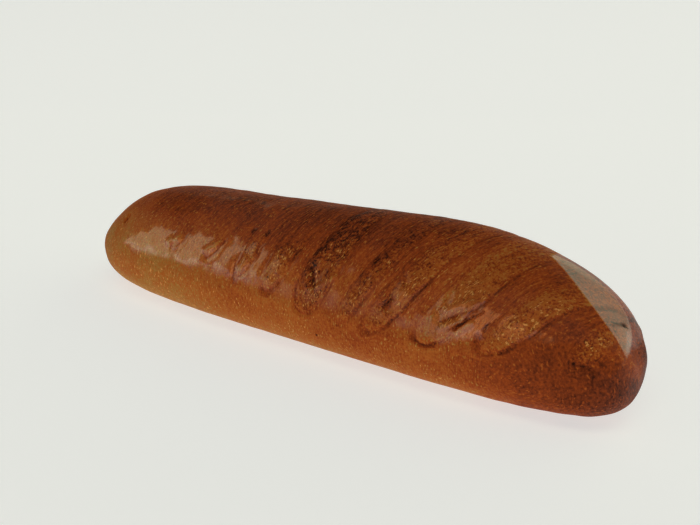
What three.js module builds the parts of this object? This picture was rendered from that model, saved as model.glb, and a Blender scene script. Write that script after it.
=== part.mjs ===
// A long white loaf with slanting slashes, as one solid. Sizes in mm, +Z up.
// The loaf lies along X on a flat base at Z = 0. Its tapered end is at +X, its blunt end at -X,
// and the slashes run down and back over the crown, from +Y to -Y.
import * as THREE from "three";
import { ImprovedNoise } from "three/addons/math/ImprovedNoise.js";
import { mergeVertices } from "three/addons/utils/BufferGeometryUtils.js";

// Driving sizes of the plain form.
const LENGTH = 380;
const WIDTH = 98;
const HEIGHT = 82;
// Height of the widest line above the base, as a share of the height.
const BELT = 0.325;
// How far the round underside would reach below the base if it weren't pressed flat.
const SINK = 4;
// How far the loaf bows towards +Y: in its middle, and more towards the tapered end.
const BOW = { middle: 5, skew: 6.1, shoulders: 7.1 };
// Gain of height and width from the middle to the tapered end, as shares.
const HEIGHT_GAIN = { straight: 0.2, cubic: -0.06 };
const WIDTH_GAIN = 0.013;

// Roundness of the two ends and of the cross-section: exponents of a superellipse.
const TAPERED_END = { length: 3.5, across: 3.2 };
const BLUNT_END = { length: 7.0, across: 2.28 };
const CROWN_ROUNDNESS = 1.87;
const UNDERSIDE_ROUNDNESS = 2.45;
// How fast the crown comes down and the underside comes up towards an end.
const CROWN_FALL = 1.58;
const UNDERSIDE_RISE = 0.82;

// Slashes from the blunt end to the tapered end. crown: where the slash crosses the crown line;
// near and far: its lean on each flank, in mm along the loaf per mm of girth; reach: girth from
// the crown to the tip of its tongue; half: half its width; top: that half width at the crown;
// rise: how far the torn crumb stands up; right and left: depth of the crease along each edge.
const SLASHES = [
  { crown: -88.5, near: 0.25, far: 0.25, reach: 59, half: 6, top: 6, rise: 1.2, right: 1.5, left: 0.2 },
  { crown: -57, near: 0.3, far: 0.3, reach: 58, half: 6.5, top: 6, rise: 1.3, right: 1.5, left: 0.3 },
  { crown: -30, near: 0.29, far: 0.29, reach: 67, half: 6, top: 6, rise: 0.5, right: 1.0, left: 0.9 },
  { crown: -6, near: 0.29, far: 0.3, reach: 70, half: 8.5, top: 7, rise: 1.0, right: 1.2, left: 0.7 },
  { crown: 23.5, near: 0.29, far: 0.33, reach: 77, half: 11, top: 8.5, rise: 0.6, right: 0.9, left: 1.4 },
  { crown: 64.5, near: 0.5, far: 0.42, reach: 79, half: 6.5, top: 6.5, rise: 0.6, right: 0.8, left: 1.0 },
  { crown: 90.5, near: 0.58, far: 0.42, reach: 78, half: 9.5, top: 11, rise: 1.0, right: 1.4, left: 0.5 },
  { crown: 122.5, near: 0.565, far: 0.36, reach: 75, half: 12, top: 16, rise: 1.1, right: 1.5, left: 0.4 },
  { crown: 162.5, near: 0.66, far: 0.2, reach: 69, half: 12, top: 11, rise: 0.9, right: 1.5, left: 0.4 },
  { crown: 184, near: 0.33, far: 0.05, reach: 61, half: 9, top: 5, rise: 0.8, right: 1.1, left: 0.3 },
];
// The leans fade out to nothing at the two ends of the loaf.
const LEAN_STOPS = [
  { crown: -LENGTH / 2, near: 0, far: 0 },
  { crown: -150, near: 0.24, far: 0.22 },
  ...SLASHES,
  { crown: LENGTH / 2, near: 0, far: 0 },
];

// Fine relief: width of a crease, how blunt a tongue is, the low swells and dents of the whole
// crust, and the knobbly crumb in the slashes. Each noise is { size, height }.
const CREASE_WIDTH = 1.5;
const TONGUE_BLUNTNESS = 4.5;
// Share of a slash's relief that is left on the crown, where it has almost closed flush.
const CROWN_RELIEF = 0.4;
const SWELLS = { size: 44, height: 0.8 };
const DENTS = { size: 15, height: 0.3 };
const CRUMB = { size: 7.5, height: 0.75 };
// Deep holes and cracks in the torn crumb: place along the loaf, girth from the crown, half
// sizes along and down, and depth (a rise where it is negative).
const PITS = [
  { x: 5.5, girth: 53, along: 4, down: 6, depth: 1.8 },
  { x: 42, girth: 34, along: 3, down: 5, depth: 1.5 },
  { x: 52, girth: 51, along: 3.5, down: 4.5, depth: 2.0 },
  { x: 59, girth: 48, along: 4, down: 4.5, depth: -1.6 },
  { x: 95, girth: 57, along: 2.5, down: 7, depth: 1.9 },
  { x: 107.5, girth: 46, along: 2.5, down: 6, depth: 1.7 },
  { x: 101, girth: 51, along: 3, down: 7, depth: -1.5 },
  { x: -157, girth: 44, along: 2, down: 5, depth: 1.0 },
];

// Grid of the skin: rows are counted from the middle of the base up to the crown.
const BASE_ROWS = 2;
const UNDERSIDE_ROWS = 4;
const FLANK_ROWS = 18;
const ROWS = 2 * (BASE_ROWS + UNDERSIDE_ROWS + FLANK_ROWS);
// Cross-sections are placed on each slash, in the plain crust between and by the shrinking of
// the section towards each end.
const SECTIONS_ON_SLASH = [-1.25, -1, -0.75, -0.4, 0, 0.4, 0.75, 1, 1.25];
const SECTIONS_ON_END = [0.12, 0.25, 0.38, 0.5, 0.6, 0.7, 0.8, 0.88];
const LEAST_SPACING = 1.8;
const WIDEST_SPACING = 5;

// Radius that turns an angle round the belt's centre line into girth.
const GIRTH_RADIUS = 52;
const beltHeight = BELT * HEIGHT;
const noise = new ImprovedNoise();

function signedPower(value, exponent) {
  return Math.sign(value) * Math.abs(value) ** exponent;
}

// Share of the full cross-section left at x: 1 in the middle, 0 at the tips.
function sectionShare(x) {
  const u = Math.abs(x) / (LENGTH / 2);
  const end = x > 0 ? TAPERED_END : BLUNT_END;
  return Math.max(0, 1 - u ** end.length) ** (1 / end.across);
}

// Where the cross-section has shrunk to a share, on the tapered or the blunt side.
function placeOfShare(share, end) {
  return (LENGTH / 2) * (1 - share ** end.across) ** (1 / end.length);
}

function bowAt(x) {
  const u = x / (LENGTH / 2);
  return (BOW.middle + BOW.skew * u + BOW.shoulders * u ** 2) * (1 - u ** 2);
}

// Lean of the slashes at a place of the crown line, for the near or the far flank.
function leanAt(crown, flank) {
  let next = 1;
  while (next < LEAN_STOPS.length - 1 && LEAN_STOPS[next].crown < crown) next += 1;
  const from = LEAN_STOPS[next - 1];
  const to = LEAN_STOPS[next];
  return THREE.MathUtils.mapLinear(crown, from.crown, to.crown, from[flank], to[flank]);
}

// Shift along the loaf of a slash, at a girth from the crown that is positive on the near flank.
function slashShift(stop, girth) {
  const share = THREE.MathUtils.smoothstep(girth, -30, 30);
  return -girth * THREE.MathUtils.lerp(stop.far, stop.near, share);
}

// Point of the plain form where the cross-section at x meets an angle of the superellipse.
function plainPoint(x, angle) {
  const u = x / (LENGTH / 2);
  const share = sectionShare(x);
  const above = Math.sin(angle) > 0;
  const exponent = 2 / (above ? CROWN_ROUNDNESS : UNDERSIDE_ROUNDNESS);
  const side = signedPower(Math.cos(angle), exponent);
  const lift = signedPower(Math.sin(angle), exponent);
  const halfWidth = (WIDTH / 2) * share * (1 + WIDTH_GAIN * u);
  const gain = 1 + HEIGHT_GAIN.straight * u + HEIGHT_GAIN.cubic * u ** 3;
  const crownHeight = (HEIGHT * gain - beltHeight) * share ** CROWN_FALL;
  const keelDepth = (beltHeight + SINK) * share ** UNDERSIDE_RISE;
  const z = beltHeight + lift * (above ? crownHeight : keelDepth);
  return new THREE.Vector3(x, halfWidth * side + bowAt(x), Math.max(z, 0));
}

function girthOf(point) {
  return GIRTH_RADIUS * Math.atan2(bowAt(point.x) - point.y, point.z - beltHeight);
}

// Angle of a grid row. The rows beside the base follow the edge of the pressed flat.
function rowAngle(row, x) {
  const flat = beltHeight / ((beltHeight + SINK) * Math.max(sectionShare(x), 1e-6) ** UNDERSIDE_RISE);
  const edge = Math.min(Math.asin(Math.min(flat, 1) ** (UNDERSIDE_ROUNDNESS / 2)), 1.45);
  const count = Math.min(row, ROWS - row);
  const onUnderside = count - BASE_ROWS;
  const onFlank = onUnderside - UNDERSIDE_ROWS;
  let angle = (Math.PI / 2) * (onFlank / FLANK_ROWS);
  if (onFlank < 0) angle = edge * (onUnderside / UNDERSIDE_ROWS - 1);
  if (onUnderside < 0) angle = THREE.MathUtils.lerp(-Math.PI / 2, -edge, count / BASE_ROWS);
  return row <= ROWS / 2 ? angle : Math.PI - angle;
}

// Places of the cross-sections along the crown line, tips left out.
function sectionPlaces() {
  const wanted = SECTIONS_ON_END.map((share) => -placeOfShare(share, BLUNT_END));
  for (const slash of SLASHES) {
    for (const offset of SECTIONS_ON_SLASH) wanted.push(slash.crown + offset * slash.half);
  }
  const tapered = SECTIONS_ON_END.slice(0, 4).map((share) => placeOfShare(share, TAPERED_END));
  const inside = wanted.filter((x) => x < tapered[3] - LEAST_SPACING).concat(tapered);
  inside.sort((a, b) => a - b);
  const places = [];
  for (const x of inside) {
    const last = places.length ? places[places.length - 1] : -LENGTH / 2;
    const close = Math.abs(x) < 180 ? LEAST_SPACING : 0.1;
    if (x - last < close) continue;
    const steps = Math.ceil((x - last) / WIDEST_SPACING);
    for (let step = 1; step < steps; step += 1) places.push(last + ((x - last) * step) / steps);
    places.push(x);
  }
  return places;
}

// Relief of one slash, in mm outwards: a knobbly rise of torn crumb between two creases.
function slashRelief(slash, point, girth) {
  const down = Math.abs(girth) / slash.reach;
  if (down > 1.4) return 0;
  const half = THREE.MathUtils.lerp(slash.top, slash.half, Math.min(Math.abs(girth) / 45, 1));
  const across = point.x - slash.crown - slashShift(slash, girth);
  const radius = Math.sqrt((across / half) ** 2 + down ** (2 * TONGUE_BLUNTNESS));
  const outside = (radius - 1) * half;
  const rightShare = THREE.MathUtils.smoothstep(across / half, -0.8, 0.8);
  const tipShare = THREE.MathUtils.smoothstep(down, 0.8, 1);
  const edgeShare = Math.max(rightShare, 0.8 * tipShare);
  const depth = THREE.MathUtils.lerp(slash.left, slash.right, edgeShare);
  const crease = depth * Math.exp(-((outside / CREASE_WIDTH) ** 2));
  const crumb = CRUMB.height * noise.noise(point.x / CRUMB.size, girth / CRUMB.size, 7.3);
  const inner = THREE.MathUtils.smoothstep(-outside, 0, 4);
  const openness = THREE.MathUtils.smoothstep(Math.abs(girth), 12, 48);
  return THREE.MathUtils.lerp(CROWN_RELIEF, 1, openness) * (inner * (slash.rise + crumb) - crease);
}

function pitRelief(pit, point, girth) {
  const slant = point.x - pit.x + 0.45 * (girth - pit.girth);
  const away = (slant / pit.along) ** 2 + ((girth - pit.girth) / pit.down) ** 2;
  return -pit.depth * Math.exp(-away);
}

function noiseRelief(kind, point, layer) {
  return kind.height * noise.noise(point.x / kind.size, point.y / kind.size, point.z / kind.size + layer);
}

// All relief at a point. It dies away at the base, which rests flat, and at the tips of the ends.
function reliefAt(point) {
  const girth = girthOf(point);
  const slashes = SLASHES.reduce((sum, slash) => sum + slashRelief(slash, point, girth), 0);
  const pits = PITS.reduce((sum, pit) => sum + pitRelief(pit, point, girth), 0);
  const atTip = THREE.MathUtils.smoothstep(sectionShare(point.x), 0.12, 0.4);
  const aboveBase = THREE.MathUtils.smoothstep(point.z, 1, 9);
  const crust = noiseRelief(SWELLS, point, 0.4) + noiseRelief(DENTS, point, 3.7);
  return aboveBase * (crust + atTip * (slashes + pits));
}

// The skin starts as a sphere, whose grid of rows and sections is laid on the plain form.
function loafSkin() {
  const places = sectionPlaces();
  const stops = [LENGTH / 2, ...places.reverse(), -LENGTH / 2];
  const sphere = new THREE.SphereGeometry(1, ROWS, stops.length - 1);
  const position = sphere.getAttribute("position");
  const grid = sphere.getAttribute("uv");
  for (let i = 0; i < position.count; i += 1) {
    const crown = stops[Math.round((1 - grid.getY(i)) * (stops.length - 1))];
    const row = Math.floor(grid.getX(i) * ROWS + 0.25) % ROWS;
    const middle = girthOf(plainPoint(0, rowAngle(row, 0)));
    const reached = middle * (1 - THREE.MathUtils.smoothstep(Math.abs(middle), 66, 118));
    const stop = { near: leanAt(crown, "near"), far: leanAt(crown, "far") };
    const x = crown + slashShift(stop, reached);
    const point = plainPoint(x, rowAngle(row, x));
    position.setXYZ(i, point.x, point.y, point.z);
  }
  sphere.deleteAttribute("uv");
  sphere.deleteAttribute("normal");
  const skin = mergeVertices(sphere, 1e-3);
  skin.computeVertexNormals();
  return skin;
}

// Relief is laid on along the normals of the plain form, then the loaf is centred on the origin.
function loafGeometry() {
  const skin = loafSkin();
  const position = skin.getAttribute("position");
  const normal = skin.getAttribute("normal");
  const point = new THREE.Vector3();
  const outward = new THREE.Vector3();
  for (let i = 0; i < position.count; i += 1) {
    point.fromBufferAttribute(position, i);
    outward.fromBufferAttribute(normal, i);
    point.addScaledVector(outward, reliefAt(point));
    position.setXYZ(i, point.x, point.y, Math.max(point.z, 0));
  }
  skin.computeBoundingBox();
  const { min, max } = skin.boundingBox;
  skin.translate(-(min.x + max.x) / 2, -(min.y + max.y) / 2, 0);
  skin.computeVertexNormals();
  return skin;
}

const crust = new THREE.MeshStandardMaterial({ color: 0xa5672f, roughness: 0.45 });
const whiteLoaf = new THREE.Mesh(loafGeometry(), crust);
whiteLoaf.name = "white_loaf";

const loaf = new THREE.Group();
loaf.name = "loaf";
loaf.add(whiteLoaf);

export default loaf;
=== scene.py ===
import math

import bmesh
import bpy
import numpy as np
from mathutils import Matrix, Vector, noise


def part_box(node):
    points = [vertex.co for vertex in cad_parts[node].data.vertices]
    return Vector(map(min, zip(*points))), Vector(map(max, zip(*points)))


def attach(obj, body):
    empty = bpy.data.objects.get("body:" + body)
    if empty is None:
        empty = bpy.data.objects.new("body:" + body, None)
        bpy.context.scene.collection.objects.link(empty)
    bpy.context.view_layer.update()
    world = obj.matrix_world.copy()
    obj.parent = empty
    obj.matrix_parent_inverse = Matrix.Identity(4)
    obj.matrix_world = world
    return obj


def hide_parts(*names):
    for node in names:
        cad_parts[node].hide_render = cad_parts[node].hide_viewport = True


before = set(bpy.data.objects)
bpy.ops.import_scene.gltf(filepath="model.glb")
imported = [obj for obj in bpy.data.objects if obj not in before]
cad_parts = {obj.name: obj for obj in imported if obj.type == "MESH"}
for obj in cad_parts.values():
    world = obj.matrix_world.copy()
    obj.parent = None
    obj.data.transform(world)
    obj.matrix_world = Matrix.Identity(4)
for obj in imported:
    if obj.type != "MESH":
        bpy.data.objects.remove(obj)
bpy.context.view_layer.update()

# The loaf's body is one piece of proofed dough, rolled by hand to a long bolster that is blunt at
# one end, drawn out at the other, bowed a little and pressed flat where it lay in the oven.
# It starts as a cube whose faces are cut into a grid, and the grid is laid on that form, in mm.
HALF_LENGTH = 190.0
HALF_WIDTH = 49.0
CROWN_HEIGHT = 82.0
BELT_HEIGHT = 26.65
KEEL_DEPTH = 30.65
# Exponents of the superellipses: of an end along and across the loaf, and of the cross-section.
TAPERED_END = (3.5, 3.2)
BLUNT_END = (7.0, 2.28)
CROWN_ROUNDNESS = 1.87
UNDERSIDE_ROUNDNESS = 2.45
# How fast the crown comes down and the underside comes up towards an end.
CROWN_FALL = 1.58
UNDERSIDE_RISE = 0.82
# Gain of height and width from the middle to the tapered end, and the bow in mm.
HEIGHT_GAIN = (0.2, -0.06)
WIDTH_GAIN = 0.013
BOW = (5.0, 6.1, 7.1)
# Cells of the grid along, across and up, and how much closer its columns are near the ends.
CELLS = (336, 44, 90)
END_CROWDING = 0.9
# The cube's end faces cover each tip, from the place where this share of the section is left.
END_SHARE = 0.6
# Part of a side face that lies on the underside, angle of the shoulder where the top face starts,
# and the steepest angle of the pressed edge.
UNDERSIDE_TOP = -1 / 3
SHOULDER = math.radians(60.0)
STEEPEST_EDGE = 1.45
# Radius that turns an angle round the belt's centre line into girth.
GIRTH_RADIUS = 52.0


def smooth(value, low, high):
    """0 up to low, 1 from high on and a soft step between."""
    t = np.clip((value - low) / (high - low), 0.0, 1.0)
    return t * t * (3.0 - 2.0 * t)


def mix(a, b, share):
    """The value a where the share is 0, and b where it is 1."""
    return a + (b - a) * share


def signed_power(value, exponent):
    """A power of the value's size, with the value's sign."""
    return np.sign(value) * np.abs(value) ** exponent


def section_share(x):
    """How much of the full cross-section is left at x."""
    u = np.clip(np.abs(x) / HALF_LENGTH, 0.0, 1.0)
    tapered = (1.0 - u ** TAPERED_END[0]) ** (1.0 / TAPERED_END[1])
    blunt = (1.0 - u ** BLUNT_END[0]) ** (1.0 / BLUNT_END[1])
    return np.where(x > 0, tapered, blunt)


def place_of_share(share, end):
    """Where the cross-section has shrunk to a share, on the tapered side where end is above 0."""
    tapered = (1.0 - share ** TAPERED_END[1]) ** (1.0 / TAPERED_END[0])
    blunt = (1.0 - share ** BLUNT_END[1]) ** (1.0 / BLUNT_END[0])
    return HALF_LENGTH * np.where(end > 0, tapered, -blunt)


def bow_at(x):
    """How far the loaf's middle is bowed sideways at x."""
    u = x / HALF_LENGTH
    return (BOW[0] + BOW[1] * u + BOW[2] * u**2) * (1.0 - u**2)


def plain_points(x, angle):
    """Points of the plain form at places along the loaf and angles of the superellipse."""
    u = x / HALF_LENGTH
    share = section_share(x)
    above = np.sin(angle) > 0
    exponent = 2.0 / np.where(above, CROWN_ROUNDNESS, UNDERSIDE_ROUNDNESS)
    side = signed_power(np.cos(angle), exponent)
    lift = signed_power(np.sin(angle), exponent)
    crown_height = CROWN_HEIGHT * (1.0 + HEIGHT_GAIN[0] * u + HEIGHT_GAIN[1] * u**3)
    crown = (crown_height - BELT_HEIGHT) * share**CROWN_FALL
    keel = KEEL_DEPTH * share**UNDERSIDE_RISE
    y = HALF_WIDTH * (1.0 + WIDTH_GAIN * u) * share * side + bow_at(x)
    z = np.maximum(BELT_HEIGHT + lift * np.where(above, crown, keel), 0.0)
    return np.stack([x, y, z], axis=1)


def girth_of(points):
    """Distance round the loaf from its crown line, positive on the flank that faces -Y."""
    sideways = bow_at(points[:, 0]) - points[:, 1]
    return GIRTH_RADIUS * np.arctan2(sideways, points[:, 2] - BELT_HEIGHT)


def grid_angle(across, up, x):
    """Angle round the section of a point on the cube's rim, finest between the crown and the belt."""
    flat = BELT_HEIGHT / (KEEL_DEPTH * np.maximum(section_share(x), 1e-6) ** UNDERSIDE_RISE)
    edge = np.arcsin(np.minimum(flat, 1.0) ** (UNDERSIDE_ROUNDNESS / 2))
    edge = np.minimum(edge, STEEPEST_EDGE)
    above = SHOULDER * (up - UNDERSIDE_TOP) / (1 - UNDERSIDE_TOP)
    below = edge * (up - UNDERSIDE_TOP) / (1 + UNDERSIDE_TOP)
    flank = np.where(up > UNDERSIDE_TOP, above, below)
    flank = np.where(across > 0, flank, math.pi - flank)
    top = math.pi / 2 - (math.pi / 2 - SHOULDER) * across
    base = -math.pi / 2 + (math.pi / 2 - edge) * across
    on_flank = np.abs(across) >= np.abs(up)
    return np.where(on_flank, flank, np.where(up > 0, top, base))


body_mesh = bpy.data.meshes.new("loaf")
bm = bmesh.new()
bmesh.ops.create_cube(bm, size=2.0)
for axis, cells in enumerate(CELLS):
    # Only the edges along this axis still run the whole way from -1 to 1.
    along = [e for e in bm.edges if abs(e.verts[0].co[axis] - e.verts[1].co[axis]) > 1.5]
    bmesh.ops.subdivide_edges(bm, edges=along, cuts=cells - 1, use_grid_fill=True)
for face in bm.faces:
    face.smooth = True
bm.to_mesh(body_mesh)
bm.free()

cube = np.empty(len(body_mesh.vertices) * 3)
body_mesh.vertices.foreach_get("co", cube)
cube = cube.reshape(-1, 3)

# The slashes were cut slantwise over the crown before baking and tore open in the oven. Each is a
# tongue of rough crumb with a fold along its lower edge, whose crease is painted dark as a painted
# shade, and a dark band along its upper one.

# From the blunt end: place on the crown line, lean on the near and the far flank, girth from the
# crown to the tip, half width there and on the crown, rise of the crumb, depth of the fold on the
# right and on the left, how dark the band is, and the girth from which the slash shows, which is
# below 0 for one that runs right over the crown.
SLASHES = (
    (-88.5, 0.25, 0.25, 59.0, 5.0, 5.0, 0.3, 1.2, 0.1, 0.1, 44.0),
    (-57.0, 0.30, 0.30, 58.0, 5.5, 5.0, 0.4, 1.2, 0.1, 0.1, 42.0),
    (-30.0, 0.29, 0.29, 67.0, 6.0, 6.0, 0.5, 1.1, 0.9, 0.2, 38.0),
    (-6.0, 0.29, 0.30, 70.0, 8.5, 7.0, 1.0, 1.2, 0.7, 0.2, 34.0),
    (23.5, 0.29, 0.33, 77.0, 11.0, 8.5, 0.6, 0.9, 1.4, 1.0, -15.0),
    (64.5, 0.50, 0.42, 79.0, 6.5, 6.5, 0.6, 0.8, 0.6, 0.8, -15.0),
    (90.5, 0.58, 0.42, 78.0, 9.5, 11.0, 1.0, 1.4, 0.3, 0.3, -15.0),
    (122.5, 0.565, 0.36, 75.0, 12.0, 16.0, 1.1, 1.5, 0.2, 0.1, -15.0),
    (162.5, 0.66, 0.20, 69.0, 12.0, 12.0, 0.7, 1.2, 0.1, 0.0, -15.0),
    (184.0, 0.33, 0.05, 61.0, 9.0, 5.0, 0.6, 0.9, 0.3, 0.1, -15.0),
)
# The grid's columns are upright at both ends, and lean first here: place, near and far lean.
FIRST_LEAN = (-150.0, 0.24, 0.22)
# Girth where the grid's lean starts to fade, where it has gone, and near the middle of the base.
LEAN_FADES = 66.0
LEAN_GONE = 118.0
BASE_GIRTH = 155.0
# Girth where a slash has got its full width on the flank.
FLANK_GIRTH = 45.0
# A low lip lies outside each fold, and the dark band lies inside its edge.
LIP_HEIGHT = 0.12
LIP_PLACE = 2.2
LIP_WIDTH = 1.2
BAND_PLACE = 1.5
BAND_WIDTH = 2.6
# Single bumps, pits and cracks, each along a short line: place and girth of both ends, half width,
# and height, which is below 0 for a pit. The last two are the low ridge along the glaze's seam.
MARKS = (
    (-108.0, 55.0, -101.5, 51.0, 2.6, 1.1),
    (-76.0, 54.0, -69.5, 48.0, 2.8, 1.3),
    (3.0, 48.0, 7.0, 58.0, 1.8, -1.2),
    (10.0, 58.5, 19.5, 49.0, 1.6, 1.2),
    (41.0, 35.0, 42.5, 32.5, 1.2, -1.6),
    (54.5, 59.0, 58.0, 53.0, 2.2, -1.3),
    (62.5, 54.0, 66.5, 48.0, 3.4, 1.5),
    (90.0, 58.5, 106.0, 47.0, 0.7, -0.8),
    (96.0, 61.5, 112.0, 46.0, 0.7, -0.8),
    (92.0, 62.0, 98.0, 56.5, 2.0, 1.5),
    (99.0, 62.0, 107.0, 54.0, 1.6, 1.3),
    (93.0, 51.0, 103.0, 44.0, 2.6, 1.5),
    (-157.5, 48.0, -157.0, 40.5, 1.2, -1.3),
    (-48.5, 34.0, -47.5, 32.0, 1.0, -0.7),
    (-37.5, 34.0, -36.5, 32.0, 1.2, -0.7),
    (115.0, 56.0, 116.5, 51.5, 0.6, -0.5),
    (-45.0, 52.0, -47.5, 61.0, 2.0, 0.8),
    (-20.5, 50.0, -24.5, 63.0, 3.4, 0.9),
    (174.5, 17.0, 179.5, 3.0, 0.5, -0.3),
    (133.0, 0.0, 151.0, 10.0, 0.6, 0.3),
    (151.0, 10.0, 172.0, 21.0, 0.6, 0.3),
)


def speckle(points, size, seed, octaves=1):
    """Soft noise of about -1 to 1 whose lumps are about size across."""
    places = points / size + seed
    return np.array([noise.fractal(Vector(p), 1.0, 2.0, octaves) for p in places])


def slash_shift(near, far, girth):
    """How far along the loaf a slash has moved at a girth from where it crosses the crown line."""
    return -girth * mix(far, near, smooth(girth, -30.0, 30.0))


# The grid's columns get their place on the crown line, and then run down along the slashes.
rim = np.maximum(np.abs(cube[:, 1]), np.abs(cube[:, 2]))
ring = np.maximum(rim, 1e-9)
rim_across, rim_up = cube[:, 1] / ring, cube[:, 2] / ring
at_end = np.abs(cube[:, 0]) > 0.999999
spread = np.sin(END_CROWDING * cube[:, 0]) / math.sin(END_CROWDING)
on_side = spread * np.abs(place_of_share(END_SHARE, cube[:, 0]))
crown_place = np.where(at_end, place_of_share(END_SHARE * rim, cube[:, 0]), on_side)
stops = [-HALF_LENGTH, FIRST_LEAN[0]] + [row[0] for row in SLASHES] + [HALF_LENGTH]
near_lean = np.interp(crown_place, stops, [0.0, FIRST_LEAN[1]] + [row[1] for row in SLASHES] + [0.0])
far_lean = np.interp(crown_place, stops, [0.0, FIRST_LEAN[2]] + [row[2] for row in SLASHES] + [0.0])
middle = np.zeros_like(crown_place)
middle_girth = girth_of(plain_points(middle, grid_angle(rim_across, rim_up, middle)))
reached = middle_girth * (1.0 - smooth(np.abs(middle_girth), LEAN_FADES, LEAN_GONE))
reached = reached * smooth(section_share(crown_place), 0.2, END_SHARE)
x_place = crown_place + slash_shift(near_lean, far_lean, reached)
plain = plain_points(x_place, grid_angle(rim_across, rim_up, x_place))
body_mesh.vertices.foreach_set("co", plain.ravel())
body_mesh.update()
outward = np.empty(len(plain) * 3)
body_mesh.vertex_normals.foreach_get("vector", outward)
outward = outward.reshape(-1, 3)

girth = girth_of(plain)
round_girth = np.abs(girth)
x, y, z = plain.T
# Relief dies away at the ends and at the base, and is low on the tapered end's smooth crown.
ends = smooth(section_share(x), 0.38, 0.68)
tip_top = smooth(x, 116.0, 138.0) * smooth(-round_girth, -32.0, -20.0)
calm = (1.0 - 0.85 * tip_top) * mix(0.7, 1.0, smooth(girth, -20.0, 20.0))
above_base = smooth(z, 1.0, 9.0)

# Patterns follow a slanted place that hardly changes along a slash. Near the ends it runs on with
# the length of the outline, so that nothing is stretched where the loaf turns down.
lean_kept = 2.0 * smooth(round_girth, -LEAN_FADES, LEAN_FADES) - 1.0
lean_kept = LEAN_FADES * lean_kept * (1.0 - smooth(round_girth, LEAN_GONE, BASE_GIRTH))
slant_place = x - slash_shift(near_lean, far_lean, np.sign(girth) * lean_kept)
profile = np.linspace(-HALF_LENGTH, HALF_LENGTH, 2001)
profile_steps = np.hypot(np.diff(profile), GIRTH_RADIUS * np.diff(section_share(profile)))
profile_run = np.concatenate([[0.0], np.cumsum(profile_steps)])
slant_place += np.interp(x, profile, profile_run - np.interp(0.0, profile, profile_run)) - x
slanted = np.stack([slant_place, girth * section_share(x), np.zeros_like(x)], axis=1)

wobble = 1.3 * speckle(slanted, size=9.0, seed=3.1, octaves=3)
patchy = smooth(speckle(slanted * (1.0, 0.6, 1.0), size=8.0, seed=5.9, octaves=2), -0.35, 0.45)
crumb_lumps = speckle(slanted * (1.0, 0.5, 1.0), size=4.5, seed=7.3, octaves=3)
crumb_ridges = np.abs(speckle(slanted * (1.0, 0.45, 1.0), size=3.2, seed=1.7, octaves=2))
crumb_flakes = 1.0 - 2.0 * crumb_ridges
swells = 0.8 * speckle(plain, size=44.0, seed=0.4)
dents = 0.4 * speckle(plain, size=15.0, seed=3.7, octaves=2)
relief = swells + calm * dents
torn = np.zeros_like(x)
folds = np.zeros_like(x)
scorch = np.zeros_like(x)
# Distance outside the nearest slash, below 0 in it, and 20 mm where there is none.
edge = np.full_like(x, 20.0)
for crown, near, far, reach, half, half_top, rise, right, left, band, shows_from in SLASHES:
    down = round_girth / reach
    width = mix(half_top, half, np.minimum(round_girth / FLANK_GIRTH, 1.0))
    across = x - crown - slash_shift(near, far, girth)
    radius = np.sqrt((across / width) ** 2 + down**9.0)
    outside = (radius - 1.0) * width + wobble
    right_share = np.maximum(smooth(across / width, -0.8, 0.8), 0.8 * smooth(down, 0.8, 1.0))
    depth = mix(left, right, right_share)
    fold = np.exp(-(outside**2)) * mix(0.25, 1.0, patchy)
    lip = LIP_HEIGHT * np.exp(-(((outside - LIP_PLACE) / LIP_WIDTH) ** 2)) * right_share
    soft = mix(mix(10.0, 3.0, min(left, 1.0)), 3.0, right_share)
    inner = smooth(-outside, 0.0, soft)
    there = (down < 1.4) * smooth(round_girth, shows_from - 9.0, shows_from + 9.0)
    openness = mix(0.3, 1.0, smooth(round_girth, 15.0, 52.0)) * there
    crumb = min(rise, 1.0) * (0.75 * crumb_lumps + 0.3 * crumb_flakes * patchy)
    relief += ends * calm * openness * (inner * (0.7 * rise + crumb) - 0.8 * depth * fold + lip)
    bared = min(0.4 + rise, 1.0) * mix(0.6, 1.0, smooth(round_girth, 5.0, 40.0))
    torn = np.maximum(torn, inner * bared * there * ends)
    # Where the fold is deep the crust is painted dark, a painted shade in its crease.
    folds = np.maximum(folds, fold * np.minimum(depth / 1.4, 1.0) * openness * ends)
    banded = np.exp(-(((outside + BAND_PLACE) / BAND_WIDTH) ** 2))
    banded = banded * (1.0 - right_share) * (down < 0.8)
    banded = 0.7 * banded * smooth(down, 0.95, 0.5) + 0.3 * inner
    off_crown = mix(0.3, 1.0, smooth(round_girth, 3.0, 24.0))
    scorch = np.maximum(scorch, band * banded * there * off_crown)
    edge = np.where(np.abs(outside) < np.abs(edge), outside, edge)
pits = np.zeros_like(x)
lumps = np.zeros_like(x)
for place, pit_girth, last_place, last_girth, half, tall in MARKS:
    step_x, step_g = last_place - place, last_girth - pit_girth
    share = ((x - place) * step_x + (girth - pit_girth) * step_g) / (step_x**2 + step_g**2)
    share = np.clip(share, 0.0, 1.0)
    away = np.hypot(x - place - share * step_x, girth - pit_girth - share * step_g)
    mark = np.exp(-(((away + 0.6 * crumb_lumps) / half) ** 2))
    relief += tall * mark
    # Pits and cracks are painted darker in the crust, a painted shade in their hollows.
    pits = np.maximum(pits, mark * (tall < 0))
    # Raised lumps are painted paler in the crust, a painted highlight on them.
    lumps = np.maximum(lumps, mark * (tall > 0))
loaf_points = plain + outward * (relief * above_base)[:, None]
loaf_points[:, 2] = np.maximum(loaf_points[:, 2], 0.0)

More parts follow.
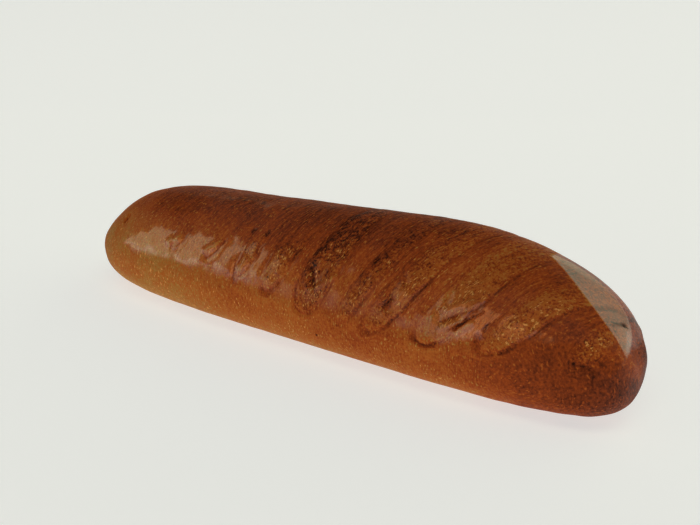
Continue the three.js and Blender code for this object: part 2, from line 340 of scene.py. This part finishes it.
# The finished form is fitted to its node's box, which turns mm into metres.
low, high = (np.array(corner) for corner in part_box("white_loaf"))
own_low, own_high = loaf_points.min(axis=0), loaf_points.max(axis=0)
loaf_points = low + (loaf_points - own_low) * (high - low) / (own_high - own_low)
body_mesh.vertices.foreach_set("co", loaf_points.ravel())
painted = {
    "torn": torn,
    "folds": folds,
    "scorch": scorch,
    "pits": pits,
    "lumps": lumps,
    "girth": girth,
}
for name, values in painted.items():
    body_mesh.attributes.new(name, "FLOAT", "POINT").data.foreach_set("value", values)
slanted[:, 2] = edge
flow = body_mesh.attributes.new("flow", "FLOAT_VECTOR", "POINT")
flow.data.foreach_set("vector", slanted.ravel())
body_mesh.update()
loaf = bpy.data.objects.new("loaf", body_mesh)
bpy.context.collection.objects.link(loaf)
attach(loaf, "root")
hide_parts("white_loaf")


# The crust is glazed dough, baked golden by the tray and a deep red brown on the crown. Fine pale
# flecks and streaks run down the flanks where the skin stretched, and the torn crumb is grainy.
# The glaze is uneven on the flanks and, past a slanting seam, thick over the tapered end.
class Layer:
    """A value of the crust's shader. Arithmetic on layers adds Math nodes to its tree."""

    def __init__(self, tree, socket=None):
        self.tree = tree
        self.socket = socket

    def node(self, kind, settings=None, sockets=None, output=0):
        made = self.tree.nodes.new(kind)
        for name, value in (settings or {}).items():
            if name == "stops":
                ramp = made.color_ramp.elements
                while len(ramp) < len(value):
                    ramp.new(0.5)
                for element, (position, colour) in zip(ramp, value):
                    element.position = position
                    element.color = (*colour, 1.0)
            else:
                setattr(made, name, value)
        for name, value in (sockets or {}).items():
            if isinstance(value, Layer):
                self.tree.links.new(value.socket, made.inputs[name])
            else:
                made.inputs[name].default_value = value
        return Layer(self.tree, made.outputs[output] if made.outputs else None)

    def maths(self, operation, first, second):
        return self.node("ShaderNodeMath", {"operation": operation}, {0: first, 1: second})

    def __add__(self, other):
        return self.maths("ADD", self, other)

    __radd__ = __add__

    def __mul__(self, other):
        return self.maths("MULTIPLY", self, other)

    __rmul__ = __mul__

    def __sub__(self, other):
        return self.maths("SUBTRACT", self, other)

    def __rsub__(self, other):
        return self.maths("SUBTRACT", other, self)

    def __abs__(self):
        return self.node("ShaderNodeMath", {"operation": "ABSOLUTE"}, {0: self})

    def at_least(self, other):
        return self.maths("MAXIMUM", self, other)

    def part(self, axis):
        """The X, Y or Z of a vector."""
        return self.node("ShaderNodeSeparateXYZ", sockets={0: self}, output=axis)

    def step(self, low, high):
        """0 up to low, 1 from high on and a soft step between."""
        limits = {"Value": self, "From Min": low, "From Max": high}
        return self.node("ShaderNodeMapRange", {"interpolation_type": "SMOOTHSTEP"}, limits)


def linear(red, green, blue):
    """A colour as a shader reads it, from the 0 to 255 values of a screen."""
    channels = (red / 255.0, green / 255.0, blue / 255.0)
    return tuple(c / 12.92 if c <= 0.04045 else ((c + 0.055) / 1.055) ** 2.4 for c in channels)


PALE = linear(230, 157, 86)
GOLDEN = linear(177, 127, 61)
AMBER = linear(187, 101, 41)
RED_BROWN = linear(164, 73, 29)
DARK_BROWN = linear(124, 54, 25)
BURNT = linear(58, 25, 14)
# Colours of the crust by how far it is baked, from 0 to 1.
SHADES = (
    (0.0, PALE),
    (0.2, GOLDEN),
    (0.4, AMBER),
    (0.6, RED_BROWN),
    (0.8, DARK_BROWN),
    (1.0, BURNT),
)
# How far the crust is baked low on the blunt end, and on the crown of the middle.
LOW_BAKE = 0.27
CROWN_BAKE = 0.77
MM_PER_METRE = 1000.0
# The seam in the glaze crosses the crown line at this place in mm and leans over with the girth.
SEAM_PLACE = 131.0
SEAM_WIDTH = 2.5
SEAM_LEAN = 1.9
# A dull strip runs along the loaf this far in mm behind the crown line.
DULL_STRIP = 22.0
# The glaze ends at about this height in metres, in an uneven line this deep.
GLAZE_FOOT = 0.037
GLAZE_FRINGE = 0.006
# Depth in metres of the finest grain, which is left to the shading.
GRAIN_DEPTH = 0.0009

crust = bpy.data.materials.new("crust")
crust.use_nodes = True
crust.node_tree.nodes.clear()
shader = Layer(crust.node_tree)
here = shader.node("ShaderNodeTexCoord", output="Object")
flow_at = shader.node("ShaderNodeAttribute", {"attribute_name": "flow"}, output="Vector")
along_at = flow_at.part("X")
edge_at = flow_at.part("Z")
height_at = here.part("Z")
torn_at, fold_shade_at, dark_band_at, pit_shade_at, lump_at, girth_at = (
    shader.node("ShaderNodeAttribute", {"attribute_name": name}, output="Fac") for name in painted
)


def grain(vector, scale, detail=2.0, stretch=None):
    """Noise of 0 to 1 in lumps of 1 / scale, on a stretched grid if one is given."""
    if stretch:
        settings = {"operation": "MULTIPLY"}
        vector = vector.node("ShaderNodeVectorMath", settings, {0: vector, 1: stretch})
    sockets = {"Vector": vector, "Scale": scale, "Detail": detail, "Roughness": 0.55}
    return vector.node("ShaderNodeTexNoise", sockets=sockets)


clouds = grain(here, 28.0, 3.0)
blotches = grain(here, 95.0, 3.0)
mottle = grain(flow_at, 1.0, 4.0, (0.34, 0.28, 0.0))
crumbs = grain(flow_at, 1.0, 3.0, (0.9, 0.34, 0.0))
worms = grain(flow_at, 1.0, 1.5, (0.62, 0.5, 0.0))
grit = grain(here, 750.0, 2.0)
fine = grain(here, 1500.0, 2.0)
streaks = grain(flow_at, 1.0, 3.0, (0.45, 0.05, 0.0))
fine_streaks = grain(flow_at, 1.0, 2.0, (1.3, 0.15, 0.0))
dashes = grain(flow_at, 1.0, 1.0, (0.95, 0.34, 0.0))
rings = grain(flow_at, 1.0, 1.0, (0.015, 0.05, 0.8))
near_edge = abs(edge_at).step(7.0, 0.5)
crown_at = abs(girth_at).step(71.0, 12.0)

# The seam leans over with the girth and turns down at the tip. Its line is half way across it and
# is painted paler, a painted highlight on the seam's low ridge.
seam_at = here.part("X") * MM_PER_METRE
seam_at = seam_at + seam_at.step(178.0, 188.0) * 12.0 - girth_at.at_least(0.0) * SEAM_LEAN
past_seam = seam_at.step(SEAM_PLACE, SEAM_PLACE + SEAM_WIDTH)
seam_highlight_line = past_seam * (1.0 - past_seam) * 4.0
seam_highlight_line = seam_highlight_line * girth_at.step(26.0, 20.0) * girth_at.step(-10.0, -4.0)

# The low flank is baked more towards the tapered end, a little less on its nose, and is pale and
# blotched beside the base. The crown is darkest in the middle.
low_bake = LOW_BAKE + along_at.step(-200.0, 20.0) * 0.18 + along_at.step(0.0, 80.0) * 0.06
low_bake = low_bake + along_at.step(130.0, 215.0) * 0.34
low_bake = low_bake + along_at.step(185.0, 225.0) * girth_at.step(15.0, 35.0) * 0.13
low_bake = low_bake - along_at.step(205.0, 232.0) * 0.07
paler = blotches.step(0.3, 0.6) * 0.16 + clouds.step(0.45, 0.6) * 0.12
low_bake = low_bake - height_at.step(0.024, 0.002) * paler
crown_bake = CROWN_BAKE - along_at.step(20.0, 110.0) * 0.1
crown_bake = crown_bake - along_at.step(-110.0, -185.0) * 0.4 - along_at.step(190.0, 225.0) * 0.15
bake = low_bake + (crown_bake - low_bake) * crown_at

# Clouds, streaks and grit over all of the skin, then its pale dashes and veins, and a painted
# highlight that makes the raised lumps paler.
bake = bake + (clouds - 0.5) * 0.35 + (blotches - 0.5) * 0.3
streaky = (streaks - 0.5) * 0.55 + (fine_streaks - 0.5) * 0.3
bake = bake + streaky * (0.3 + crown_at * (0.7 - past_seam * 0.4))
bake = bake + (grit - 0.5) * (0.5 + torn_at * 0.7) + (crumbs - 0.5) * 0.45
veins = abs(worms - 0.5).step(0.04, 0.012)
veins = veins * blotches.step(0.6 - torn_at * 0.1, 0.76 - torn_at * 0.1)
dash_gain = 0.42 - along_at.step(120.0, 180.0) * 0.15
bake = bake - dashes.step(0.6, 0.7) * blotches.step(0.3, 0.55) * dash_gain
bake = bake - veins * (0.3 + torn_at * 0.1) - lump_at * 0.14

# The torn crumb is mottled amber and red brown with pale flecks, and darker in a band along some
# edges.
crumb_bake = (mottle - 0.5) * 0.9 + crumbs.step(0.46, 0.34) * 0.22 + (grit - 0.5) * 0.3
crumb_bake = crumb_bake - along_at.step(70.0, 120.0) * 0.18 - 0.03
bake = (bake + torn_at * crumb_bake).at_least(torn_at * 0.42)
sparse = 0.84 - torn_at * (0.165 + blotches * 0.2)
fleck_gain = 0.25 + blotches.step(0.35, 0.65) * 0.45 + torn_at * 0.15
bake = bake - crumbs.step(sparse, sparse + 0.07) * fleck_gain
bake = bake + dark_band_at * (0.18 + mottle.step(0.35, 0.65) * 0.18)
# The seam's line is painted paler, a painted highlight on its ridge.
bake = bake - seam_highlight_line * 0.3
bake = bake + past_seam * girth_at.step(30.0, 16.0) * along_at.step(215.0, 195.0) * 0.15
# Fine rings run along the slash edges, and the crust is painted darker in each fold and pit, a
# painted shade in these hollows.
bake = bake + (rings - 0.5) * near_edge * 0.4 + fold_shade_at * 0.4 + pit_shade_at * 0.34

# A few cells of a coarse pattern, picked by lot, have a pinhole in the middle, dented and painted
# dark as a painted shade inside it.
hole_cells = {"Vector": here, "Scale": 85.0}
from_middle = here.node("ShaderNodeTexVoronoi", sockets=hole_cells)
cell_colour = here.node("ShaderNodeTexVoronoi", sockets=hole_cells, output="Color")
lot = here.node("ShaderNodeSeparateColor", sockets={0: cell_colour}, output="Red")
pinholes = from_middle.step(0.07, 0.04) * lot.step(0.88, 0.9)
bake = bake + pinholes * 0.6
colour = bake.node("ShaderNodeValToRGB", {"stops": SHADES}, {"Fac": bake})

# The glaze starts a little in from the blunt end, is uneven up to the seam and thick past it, and
# ends above the low flank, but for a thin sheen on the nose.
patch = past_seam * girth_at.step(40.0, 34.0) * girth_at.step(-45.0, -25.0)
glaze_height = height_at - along_at.step(130.0, 180.0) * (0.012 - past_seam * 0.007)
glaze_height = glaze_height + (blotches - 0.5) * 0.012 + (fine_streaks - 0.5) * 0.006
above_foot = glaze_height.step(GLAZE_FOOT, GLAZE_FOOT + GLAZE_FRINGE)
glaze = along_at.step(-141.0, -131.0) * blotches.step(0.15, 0.45)
glaze = glaze * (1.0 - torn_at * (0.5 - lump_at * 0.45))
glaze = glaze * (0.4 + fine_streaks.step(0.35, 0.55) * 0.6)
glaze = (glaze + (0.95 - glaze) * patch) * above_foot
glaze = glaze + (1.0 - above_foot) * along_at.step(190.0, 206.0) * 0.14

# It is thin between the slashes, on the dull strip, on top of the blunt end and beside the seam.
between = along_at.step(-32.0, 6.0) * along_at.step(130.0, 105.0)
glaze = glaze * (1.0 - between * (0.4 + near_edge * 0.4))
from_strip = abs(girth_at + DULL_STRIP)
dull = from_strip.step(46.0, 24.0) * (1.0 - past_seam) * 0.95
dull = dull + from_strip.step(36.0, 12.0) * past_seam * 0.7
dull = dull.at_least(along_at.step(-75.0, -105.0) * girth_at.step(40.0, 28.0) * 0.95)
before_seam = along_at.step(112.0, 130.0) * (1.0 - past_seam) * girth_at.step(36.0, 28.0)
glaze = glaze * (1.0 - before_seam * 0.9) * (1.0 - seam_highlight_line * 0.8) * (1.0 - dull)
facing = shader.node("ShaderNodeLayerWeight", sockets={"Blend": 0.5}, output="Facing")
glaze = glaze * (1.0 - facing.step(0.5, 1.0) * (0.92 - past_seam * 0.6))
glaze = glaze * (1.0 - fold_shade_at * 0.9) * (1.0 - pit_shade_at) * (1.0 - dark_band_at * 0.7)

roughness = 0.62 + (fine - 0.5) * 0.25 - torn_at * 0.1
height = torn_at * ((mottle - 0.5) * 2.0 + (crumbs - 0.5) * 1.8) + (grit - 0.5) * 0.8
height = height + (fine_streaks - 0.5) * 0.7 + (rings - 0.5) * near_edge * 0.8 - pinholes * 1.5
grained = {"Height": height, "Strength": 1.0, "Distance": GRAIN_DEPTH}
bump = height.node("ShaderNodeBump", sockets=grained)
finish = {"Base Color": colour, "Roughness": roughness, "Normal": bump, "Coat Weight": glaze}
finish.update({"Specular IOR Level": 0.05, "Coat Roughness": 0.1, "Coat IOR": 1.7})
surface = shader.node("ShaderNodeBsdfPrincipled", sockets=finish)
shader.node("ShaderNodeOutputMaterial", sockets={"Surface": surface})
loaf.data.materials.append(crust)

# The floor is a wide, plain sheet of matt white board whose rim curls up far from the loaf, so
# that no horizon shows. It glows a little by itself, which keeps it pale to its edge without a
# light above the loaf that would show in the glaze. Sizes are in metres.
FLOOR_HALF = 12.0
FLOOR_CELLS = 72
FLAT_RADIUS = 6.5
RIM_FLATNESS = 25.0
floor_mesh = bpy.data.meshes.new("floor")
bm = bmesh.new()
bmesh.ops.create_grid(bm, x_segments=FLOOR_CELLS, y_segments=FLOOR_CELLS, size=FLOOR_HALF)
for vertex in bm.verts:
    past_flat = max(math.hypot(vertex.co.x, vertex.co.y) - FLAT_RADIUS, 0.0)
    vertex.co.z = past_flat**2 / RIM_FLATNESS
bm.to_mesh(floor_mesh)
bm.free()
floor = bpy.data.objects.new("floor", floor_mesh)
bpy.context.collection.objects.link(floor)
board = bpy.data.materials.new("board")
board.use_nodes = True
board_shader = board.node_tree.nodes["Principled BSDF"]
board_shader.inputs["Base Color"].default_value = (0.5, 0.5, 0.5, 1.0)
board_shader.inputs["Roughness"].default_value = 0.8
board_shader.inputs["Specular IOR Level"].default_value = 0.1
board_shader.inputs["Emission Color"].default_value = (0.97, 1.0, 1.0, 1.0)
board_shader.inputs["Emission Strength"].default_value = 0.6
floor.data.materials.append(board)

# The light comes from two large white panels behind the loaf and two soft boxes in front of it.
# Each is two lights in one place: one that only the glaze mirrors, in its own tint, and one that
# only lights the crust. A smaller light above the loaf fills the crown.
PANEL_WHITE = (0.97, 1.0, 0.68)
DAY_WARM = (1.0, 0.98, 0.72)
LAMP_WARM = (1.0, 0.92, 0.57)
LAMP_AMBER = (1.0, 0.44, 0.17)
# Name, tint in the glaze, azimuth, distance, height, width, own height and radiance.
PANELS = (
    ("back panel", PANEL_WHITE, 57.0, 4.9, 5.9, 8.75, 11.2, 1.55),
    ("side panel", PANEL_WHITE, 116.5, 5.1, 1.9, 6.4, 3.2, 0.5),
    ("left soft box", LAMP_WARM, -142.7, 4.9, 2.0, 2.12, 3.06, 1.15),
    ("right soft box", LAMP_AMBER, -97.1, 5.0, 1.6, 2.12, 3.2, 1.9),
)
OVERHEAD = (-60.0, 0.9, 2.4, 2.0, 2.0, 2.35)
low, high = (Vector(corner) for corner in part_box("white_loaf"))
centre = (low + high) / 2


def soft_light(name, colour, azimuth, distance, height, width, tall, radiance):
    """A flat light that faces the loaf from a compass angle, counted from +X towards +Y."""
    lamp = bpy.data.lights.new(name, "AREA")
    lamp.shape = "RECTANGLE"
    lamp.size = width
    lamp.size_y = tall
    lamp.energy = radiance * width * tall * math.pi
    lamp.color = colour
    light = bpy.data.objects.new(name, lamp)
    turn = math.radians(azimuth)
    light.location = (distance * math.cos(turn), distance * math.sin(turn), height)
    aim = Vector((centre.x, centre.y, height)) - light.location
    light.rotation_euler = aim.to_track_quat("-Z", "Y").to_euler()
    light.visible_camera = False
    bpy.context.collection.objects.link(light)
    return light


for name, tint, *place in PANELS:
    soft_light(name + " in the glaze", tint, *place).visible_diffuse = False
    soft_light(name + " on the crust", LAMP_WARM, *place).visible_glossy = False
soft_light("overhead", DAY_WARM, *OVERHEAD).visible_glossy = False

room = bpy.data.worlds.new("room")
room.use_nodes = True
room.node_tree.nodes["Background"].inputs["Color"].default_value = (1.0, 1.0, 1.0, 1.0)
room.node_tree.nodes["Background"].inputs["Strength"].default_value = 0.05
bpy.context.scene.world = room
bpy.context.scene.view_settings.view_transform = "Standard"

# The camera looks down on the near flank from beside the tapered end, as in the photograph, on a
# 50 mm lens. Its azimuth is counted from -Y towards +X, and its target is near the loaf's middle.
CAMERA_AZIMUTH = math.radians(33.83)
CAMERA_ELEVATION = math.radians(23.9)
CAMERA_DISTANCE = 0.5956
CAMERA_TARGET = Vector((0.0066, -0.0051, 0.0492))
level = math.cos(CAMERA_ELEVATION)
back = Vector(
    (
        math.sin(CAMERA_AZIMUTH) * level,
        -math.cos(CAMERA_AZIMUTH) * level,
        math.sin(CAMERA_ELEVATION),
    )
)
lens = bpy.data.cameras.new("camera")
lens.sensor_width = 36.0
lens.lens = 50.0
camera = bpy.data.objects.new("camera", lens)
camera.location = CAMERA_TARGET + back * CAMERA_DISTANCE
camera.rotation_euler = back.to_track_quat("Z", "Y").to_euler()
bpy.context.collection.objects.link(camera)
bpy.context.scene.camera = camera
